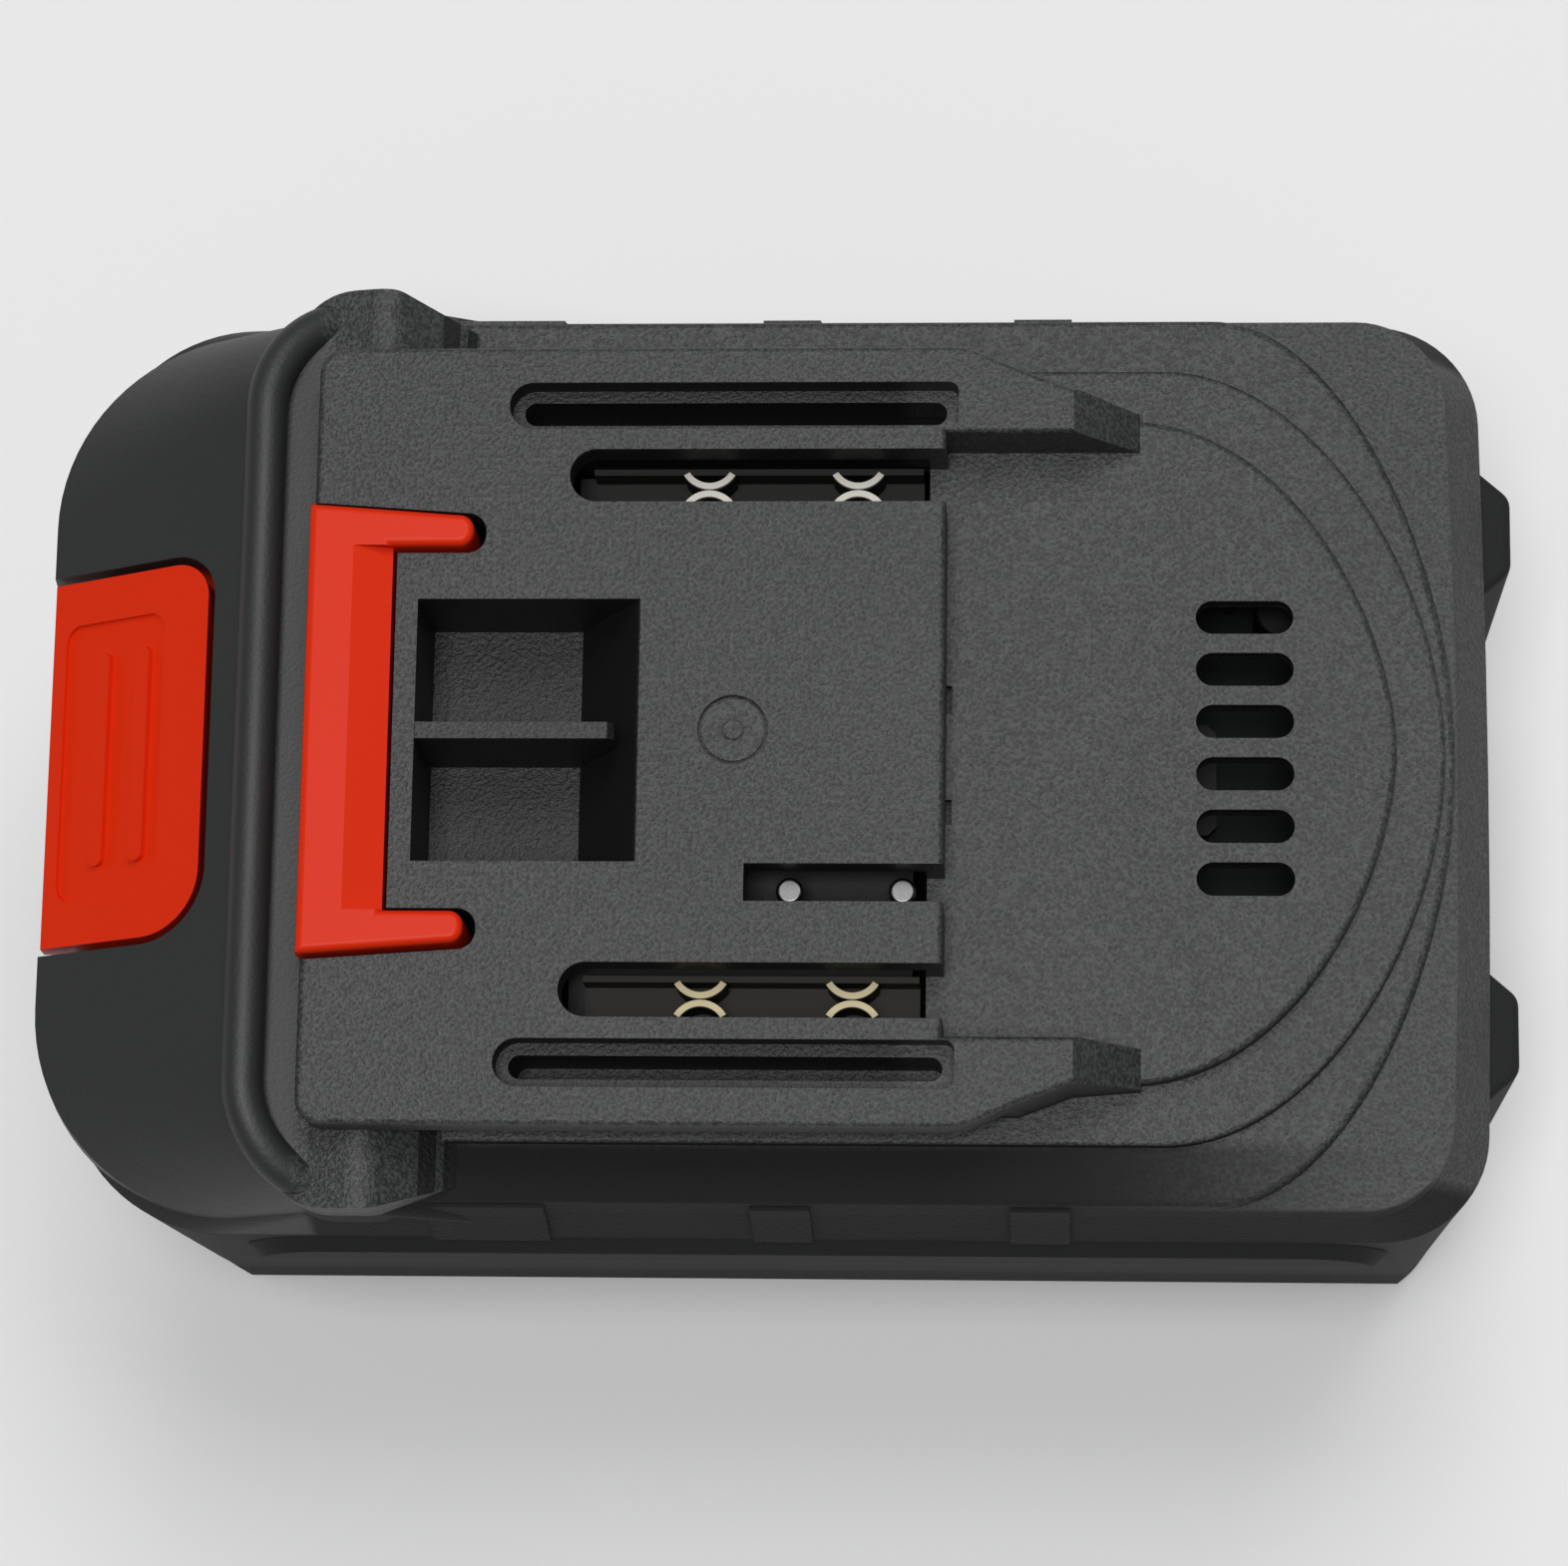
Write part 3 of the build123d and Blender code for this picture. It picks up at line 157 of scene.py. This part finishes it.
def both(tree, first, second):
    """The product of two masks."""
    return add(tree, "ShaderNodeMath", {"operation": "MULTIPLY"}, i0=first, i1=second).outputs[0]


def near(tree, value, middle, half):
    """A mask that is one where a value lies within half of middle, and nought elsewhere."""
    return add(
        tree, "ShaderNodeMath", {"operation": "COMPARE"}, i0=value, i1=middle, i2=half
    ).outputs[0]


def blend(tree, factor, below, above):
    """Mixes two colours, each a socket or a hex value."""
    sides = [c if isinstance(c, bpy.types.NodeSocket) else linear(c) for c in (below, above)]
    return add(
        tree, "ShaderNodeMix", {"data_type": "RGBA"}, Factor=factor, i6=sides[0], i7=sides[1]
    ).outputs[2]


# %% Pitted skin
GRAIN = 0.32 * MM
COARSE_GRAIN = 0.9 * MM
COARSE_SHARE = 0.2


def pits(tree, place):
    """Height of the moulded skin: fine noise plus a fifth as much of a slower one."""
    fine = add(
        tree, "ShaderNodeTexNoise", Vector=place, Scale=1 / GRAIN, Detail=2.0, Roughness=0.6
    ).outputs["Fac"]
    coarse = add(
        tree, "ShaderNodeTexNoise", Vector=place, Scale=1 / COARSE_GRAIN, Detail=1.0
    ).outputs["Fac"]
    return add(
        tree, "ShaderNodeMath", {"operation": "MULTIPLY_ADD"}, i0=coarse, i1=COARSE_SHARE, i2=fine
    ).outputs[0]


# %% Areas of the upper case
plate_rear = plate_front + 49.0 * MM
# Heights and half widths of the upright faces between the deck's steps, drawn in painted shade.
RISER_SHADE_BANDS = ((6.8 * MM, 0.5 * MM), (8.05 * MM, 0.3 * MM))
GATE = (plate_front + 32.95 * MM, 0.0, 0.0)
# Rings of the moulding gate's groove and nub, drawn in painted shade.
GATE_SHADE_RINGS = ((2.62 * MM, 0.14 * MM), (0.8 * MM, 0.12 * MM))


def behind_hood(tree, along):
    """One from the rail plate's front end backwards, nought on the hood."""
    return ramp(tree, along, plate_front - 1.0 * MM, plate_front)


def flank_shade_area(tree, along, side, height):
    """Both sides below the rim, fading in over the first twelve millimetres behind the hood;
    painted shade goes here.
    """
    low = ramp(tree, height, plate_top - 9.3 * MM, plate_top - 10.3 * MM)
    outer = ramp(tree, side, 32.5 * MM, 34.0 * MM)
    onward = ramp(tree, along, plate_front - 2.0 * MM, plate_front + 10.0 * MM)
    return both(tree, both(tree, low, outer), onward)


def ledge_shade_area(tree, along, across, height, behind):
    """The ledge beside the plate on the right-hand side, fading out towards the vents' end; a
    painted shadow of the plate.
    """
    low = ramp(tree, height, plate_top - 7.9 * MM, plate_top - 8.3 * MM)
    right_side = ramp(tree, across, -30.0 * MM, -31.5 * MM)
    fade = ramp(tree, along, 52.0 * MM, 22.0 * MM)
    return both(tree, both(tree, low, both(tree, right_side, behind)), fade)


def sunk_shade_area(tree, along, side, height, behind):
    """Whatever is sunk into the rail plate between its two outer slots, where painted shade goes.
    """
    sunk = ramp(tree, height, plate_top - 0.12 * MM, plate_top - 0.5 * MM)
    middle = ramp(tree, side, 28.8 * MM, 28.4 * MM)
    ahead = ramp(tree, along, plate_rear - 2.0 * MM, plate_rear - 4.0 * MM)
    return both(tree, both(tree, sunk, middle), both(tree, ahead, behind))


# %% Spark-eroded nylon
CLOUD = 14.0 * MM
CLOUD_SWAY = 0.08
PIT_DEPTH = 0.13 * MM
ROUGH = 0.50
DRY_ROUGHNESS = 0.35
HOOD_RELIEF = 0.3
LOW_SKIN, HIGH_SKIN = 0.46, 0.78
# The speck tone is partly the skin's own and partly a painted highlight on the pits' tops.
OPEN_TONE, SPECK_AND_HIGHLIGHT_TONE = "#202121", "#3e3f3f"
# The flank tone and the sunk tone are painted shade; the hood tone is the smoother hood's own.
HOOD_TONE, FLANK_SHADE_TONE, SUNK_SHADE_TONE = "#252626", "#0b0c0c", "#0e0f0f"

upper_nylon, tree, shader = finish("spark_eroded_nylon_upper", OPEN_TONE, ROUGH)
place = add(tree, "ShaderNodeTexCoord").outputs["Object"]
split = add(tree, "ShaderNodeSeparateXYZ", Vector=place)
along, across, height = (split.outputs[axis] for axis in "XYZ")
side = add(tree, "ShaderNodeMath", {"operation": "ABSOLUTE"}, i0=across).outputs[0]
behind = behind_hood(tree, along)
flank_shade = flank_shade_area(tree, along, side, height)
ledge_shade = ledge_shade_area(tree, along, across, height, behind)
skin = pits(tree, place)

# Paler specks on the skin's high points: partly the skin's own tone, partly a painted highlight.
speckled_with_highlight = blend(tree, ramp(tree, skin, LOW_SKIN, HIGH_SKIN), OPEN_TONE, SPECK_AND_HIGHLIGHT_TONE)
tone = blend(tree, behind, HOOD_TONE, speckled_with_highlight)
# Painted shade on the flanks below the rim.
tone = blend(tree, flank_shade, tone, FLANK_SHADE_TONE)
# Painted shade in the pockets and slots sunk into the rail plate.
tone = blend(tree, sunk_shade_area(tree, along, side, height, behind), tone, SUNK_SHADE_TONE)
# Painted shadow of the plate on the right-hand ledge.
tone = blend(tree, ledge_shade, tone, FLANK_SHADE_TONE)
# Painted shade on the upright faces between the deck's steps.
for drop, half in RISER_SHADE_BANDS:
    riser_shade = both(tree, near(tree, height, plate_top - drop, half), behind)
    tone = blend(tree, riser_shade, tone, SUNK_SHADE_TONE)
level = add(tree, "ShaderNodeCombineXYZ", X=along, Y=across).outputs[0]
radius = add(
    tree, "ShaderNodeVectorMath", {"operation": "DISTANCE"}, i0=level, i1=GATE
).outputs["Value"]
# Painted shade in the rings of the moulding gate.
for ring, half in GATE_SHADE_RINGS:
    tone = blend(tree, near(tree, radius, ring, half), tone, SUNK_SHADE_TONE)
tree.links.new(tone, shader.inputs["Base Color"])

# %% Gloss and relief of the nylon
cloud = add(tree, "ShaderNodeTexNoise", Vector=place, Scale=1 / CLOUD, Detail=3.0).outputs["Fac"]
uneven = add(
    tree, "ShaderNodeMath", {"operation": "MULTIPLY_ADD"}, i0=cloud, i1=CLOUD_SWAY, i2=ROUGH
).outputs[0]
matt = add(tree, "ShaderNodeMath", {"operation": "MAXIMUM"}, i0=flank_shade, i1=ledge_shade).outputs[0]
dry = add(
    tree, "ShaderNodeMath", {"operation": "MULTIPLY_ADD"}, i0=matt, i1=DRY_ROUGHNESS, i2=uneven
).outputs[0]
tree.links.new(dry, shader.inputs["Roughness"])
strength = add(
    tree, "ShaderNodeMapRange", Value=behind, **{"To Min": HOOD_RELIEF, "To Max": 1.0}
).outputs["Result"]
bump = add(tree, "ShaderNodeBump", Strength=strength, Distance=PIT_DEPTH, Height=skin)
tree.links.new(bump.outputs["Normal"], shader.inputs["Normal"])
wear(upper_nylon, "upper_case")
wear(
    grained("spark_eroded_nylon_lower", "#202121", 0.82, 0.32, 0.05, 0.4, shine=0.3), "lower_case"
)
print("nylon tones", OPEN_TONE, SPECK_AND_HIGHLIGHT_TONE, HOOD_TONE, FLANK_SHADE_TONE, SUNK_SHADE_TONE)

# %% [markdown]
# ## The release latch
# Hook and button are one moulding of red acetal-like plastic. It is smooth, a little glossy, and
# its colour is strong enough that the shaded faces stay red. A lower gloss than most plastics keeps
# the lamps from whitening the red, and a faint grain stops the flat faces from looking like glass.

# %% Red moulded plastic
RED_GRAIN = 0.5 * MM
RED_RELIEF = 0.05 * MM
latch_red, red_tree, red_shader = finish("red_moulded_acetal", "#d22a06", 0.42, shine=0.16)
red_place = add(red_tree, "ShaderNodeTexCoord").outputs["Object"]
red_grain = add(
    red_tree, "ShaderNodeTexNoise", Vector=red_place, Scale=1 / RED_GRAIN, Detail=1.0
).outputs["Fac"]
red_bump = add(red_tree, "ShaderNodeBump", Strength=0.10, Distance=RED_RELIEF, Height=red_grain)
red_tree.links.new(red_bump.outputs["Normal"], red_shader.inputs["Normal"])
wear(latch_red, "release_latch")
print("latch", latch_red.name)

# %% [markdown]
# ## Terminals
# The channels are tin-dipped brass that has dulled to an olive brown, while the sheared top edges
# of the sprung leaves are bright metal. Their pale tone is partly the bare metal's own and partly a
# painted highlight. The change of tone follows height, because only the edges reach above the
# channel walls. A full metal finish would mirror the dark slot around it and turn black, so the
# sheet is given the tones that its dulled skin shows.


# %% Sheet brass with bright edges
EDGE_START, EDGE_END = leaf_top - 0.6 * MM, leaf_top - 0.1 * MM


def sheared_brass(name, dull, bright):
    """Dull sheet below, a pale tone within a short way of the leaves' top edges: bare metal and
    painted highlight.
    """
    material, tree, shader = finish(name, dull, 0.55, shine=0.25)
    place = add(tree, "ShaderNodeTexCoord").outputs["Object"]
    height = add(tree, "ShaderNodeSeparateXYZ", Vector=place).outputs["Z"]
    bare_edge_and_highlight = add(
        tree, "ShaderNodeMapRange", Value=height, **{"From Min": EDGE_START, "From Max": EDGE_END}
    ).outputs["Result"]
    tree.links.new(blend(tree, bare_edge_and_highlight, dull, bright), shader.inputs["Base Color"])
    return material


wear(sheared_brass("dulled_brass_left", "#100f0c", "#c9c6bd"), "positive_terminal")
wear(sheared_brass("dulled_brass_right", "#1a170e", "#c4b892"), "negative_terminal")
print("bright edges", round(EDGE_START / MM, 2), "to", round(EDGE_END / MM, 2), "mm high")

# %% [markdown]
# ## Inside the case
# Sleeved cells, their black frames, rolled nickel strips, a fibre sheet on each side, and a green
# board with its few large parts. They only show through the slots and vents, or when the pack is
# taken apart. Each finish has the grain of its own making. The board's green is darkened nearly to
# black as painted shade inside the case; it and the capacitor's sleeve are dark and dull, so that
# the vents look black from outside.

# %% Inner finishes
cells = [name for name in nodes if name.startswith("cell_") and name[-1].isdigit()]
strips = [name for name in nodes if name.startswith("nickel_strip")]
ALONG_X, ALONG_Y, ALONG_Z = (0.05, 1, 1), (1, 0.05, 1), (1, 1, 0.05)
wear(
    grained("plated_contact_pin", "#6c6c6c", 0.3, 0.2, 0.002, 0.4, metallic=1.0, pull=ALONG_Z),
    "signal_contacts",
)
wear(grained("black_glass_filled_nylon", "#121212", 0.6, 0.3, 0.02, shine=0.3), "terminal_block")
wear(grained("shrink_sleeve_blue", "#2f5f86", 0.35, 2.0, 0.02, 0.1), *cells)
wear(grained("rolled_nickel", "#b9b6ad", 0.3, 0.3, 0.004, metallic=1.0, pull=ALONG_X), *strips)
wear(
    grained("moulded_abs_black", "#17181a", 0.55, 0.4, 0.02),
    "cell_holder_left", "cell_holder_right",
)
wear(
    grained("fibre_sheet_green", "#7f9372", 0.85, 0.5, 0.04, 0.35),
    "insulation_sheet_left", "insulation_sheet_right",
)
wear(grained("closed_cell_foam", "#242427", 0.95, 0.6, 0.12, 0.5), "base_pad")
# The board's green is darkened nearly to black: painted shade inside the case.
wear(grained("solder_mask_shaded_near_black", "#040d08", 0.6, 1.2, 0.01, shine=0.12), "circuit_board")
wear(
    grained("moulded_epoxy_black", "#121213", 0.65, 0.25, 0.015, shine=0.3),
    "control_chip", "power_transistors", "thermistor",
)
wear(
    grained("bare_copper_alloy", "#5a3a24", 0.5, 0.3, 0.004, metallic=1.0, pull=ALONG_Y),
    "current_shunt",
)
wear(
    grained("sleeved_capacitor_can", "#0c0d10", 0.6, 1.5, 0.01, shine=0.12), "smoothing_capacitor"
)
wear(grained("black_zinc_steel", "#3a3a3c", 0.35, 0.5, 0.006, metallic=1.0), "case_screws")
wear(
    grained("drawn_spring_steel", "#a8a8a8", 0.28, 0.3, 0.003, metallic=1.0),
    "latch_spring_left", "latch_spring_right",
)
print("inner finishes on", len(cells), "cells and", len(strips), "strips")

# %% [markdown]
# ## Table, light and camera
# The pack lies on a matte, pale table that fills the picture. One soft lamp hangs overhead, a
# little to the near side, and a wider and weaker one stands behind, so that a broad, soft shadow
# lies in front of the pack. An even grey sky fills in the rest. One lamp alone could give either
# the soft grey of the plate or the shadow in front, but not both.

# %% Floor
FLOOR_HALF = 3.0
floor_mesh = bpy.data.meshes.new("table_top")
floor_corners = np.array([(-1, -1, 0), (1, -1, 0), (1, 1, 0), (-1, 1, 0)]) * FLOOR_HALF
floor_mesh.from_pydata(floor_corners.tolist(), [], [(0, 1, 2, 3)])
floor = bpy.data.objects.new("table_top", floor_mesh)
bpy.context.scene.collection.objects.link(floor)
floor_mesh.materials.append(grained("matte_table_paint", "#e6e6e6", 0.9, 0.5, 0.01, 0.01))
print("table", 2 * FLOOR_HALF, "m wide")

# %% Sky
SKY_STRENGTH = 0.14
world = bpy.data.worlds.new("even_studio_sky")
bpy.context.scene.world = world
world.use_nodes = True
sky = world.node_tree.nodes["Background"]
sky.inputs["Color"].default_value = linear("#f4f6f8")
sky.inputs["Strength"].default_value = SKY_STRENGTH


# %% Lamps
PACK_MIDDLE = Vector((0, 0, 0.03))


def soft_lamp(name, place, size, power):
    """Square white area lamp at a place in metres, turned to face the middle of the pack."""
    data = bpy.data.lights.new(name, "AREA")
    data.shape = "SQUARE"
    data.size = size
    data.energy = power
    lamp = bpy.data.objects.new(name, data)
    lamp.location = place
    lamp.rotation_euler = (PACK_MIDDLE - Vector(place)).to_track_quat("-Z", "Y").to_euler()
    bpy.context.scene.collection.objects.link(lamp)
    print(name, power, "W over", size, "m")


soft_lamp("overhead_softbox", (-0.05, -0.36, 2.3), 0.7, 31.0)
soft_lamp("back_softbox", (0.25, 0.85, 1.95), 1.1, 18.5)

# %% [markdown]
# The camera is a long lens almost straight above the pack, a little in front of it and turned a
# few degrees, as found by fitting a pinhole camera to the corners of the rail plate. Its right, up
# and backward directions are the columns of its matrix. Aiming it at a point would be shorter, but
# would lose the small turn about its own axis.

# %% Camera
FRAME_WIDTH = 1572
FOCAL_PIXELS = 4970.761
SENSOR = 36.0
camera_data = bpy.data.cameras.new("long_lens")
camera_data.sensor_width = SENSOR
camera_data.lens = SENSOR * FOCAL_PIXELS / FRAME_WIDTH
camera_data.clip_start = 0.02
camera_data.clip_end = 50.0
camera = bpy.data.objects.new("long_lens", camera_data)
right = Vector((0.99828823, 0.01452028, -0.0566548))
up = Vector((-0.00199011, 0.97656345, 0.2152205))
back = Vector((0.05845207, -0.21473935, 0.9749207))
eye = Vector((23.75, -85.8, 434.4)) * MM
camera.matrix_world = Matrix((right, up, back)).transposed().to_4x4()
camera.location = eye
bpy.context.scene.collection.objects.link(camera)
bpy.context.scene.camera = camera
bpy.context.scene.view_settings.view_transform = "Standard"
print("lens", round(camera_data.lens, 1), "mm")
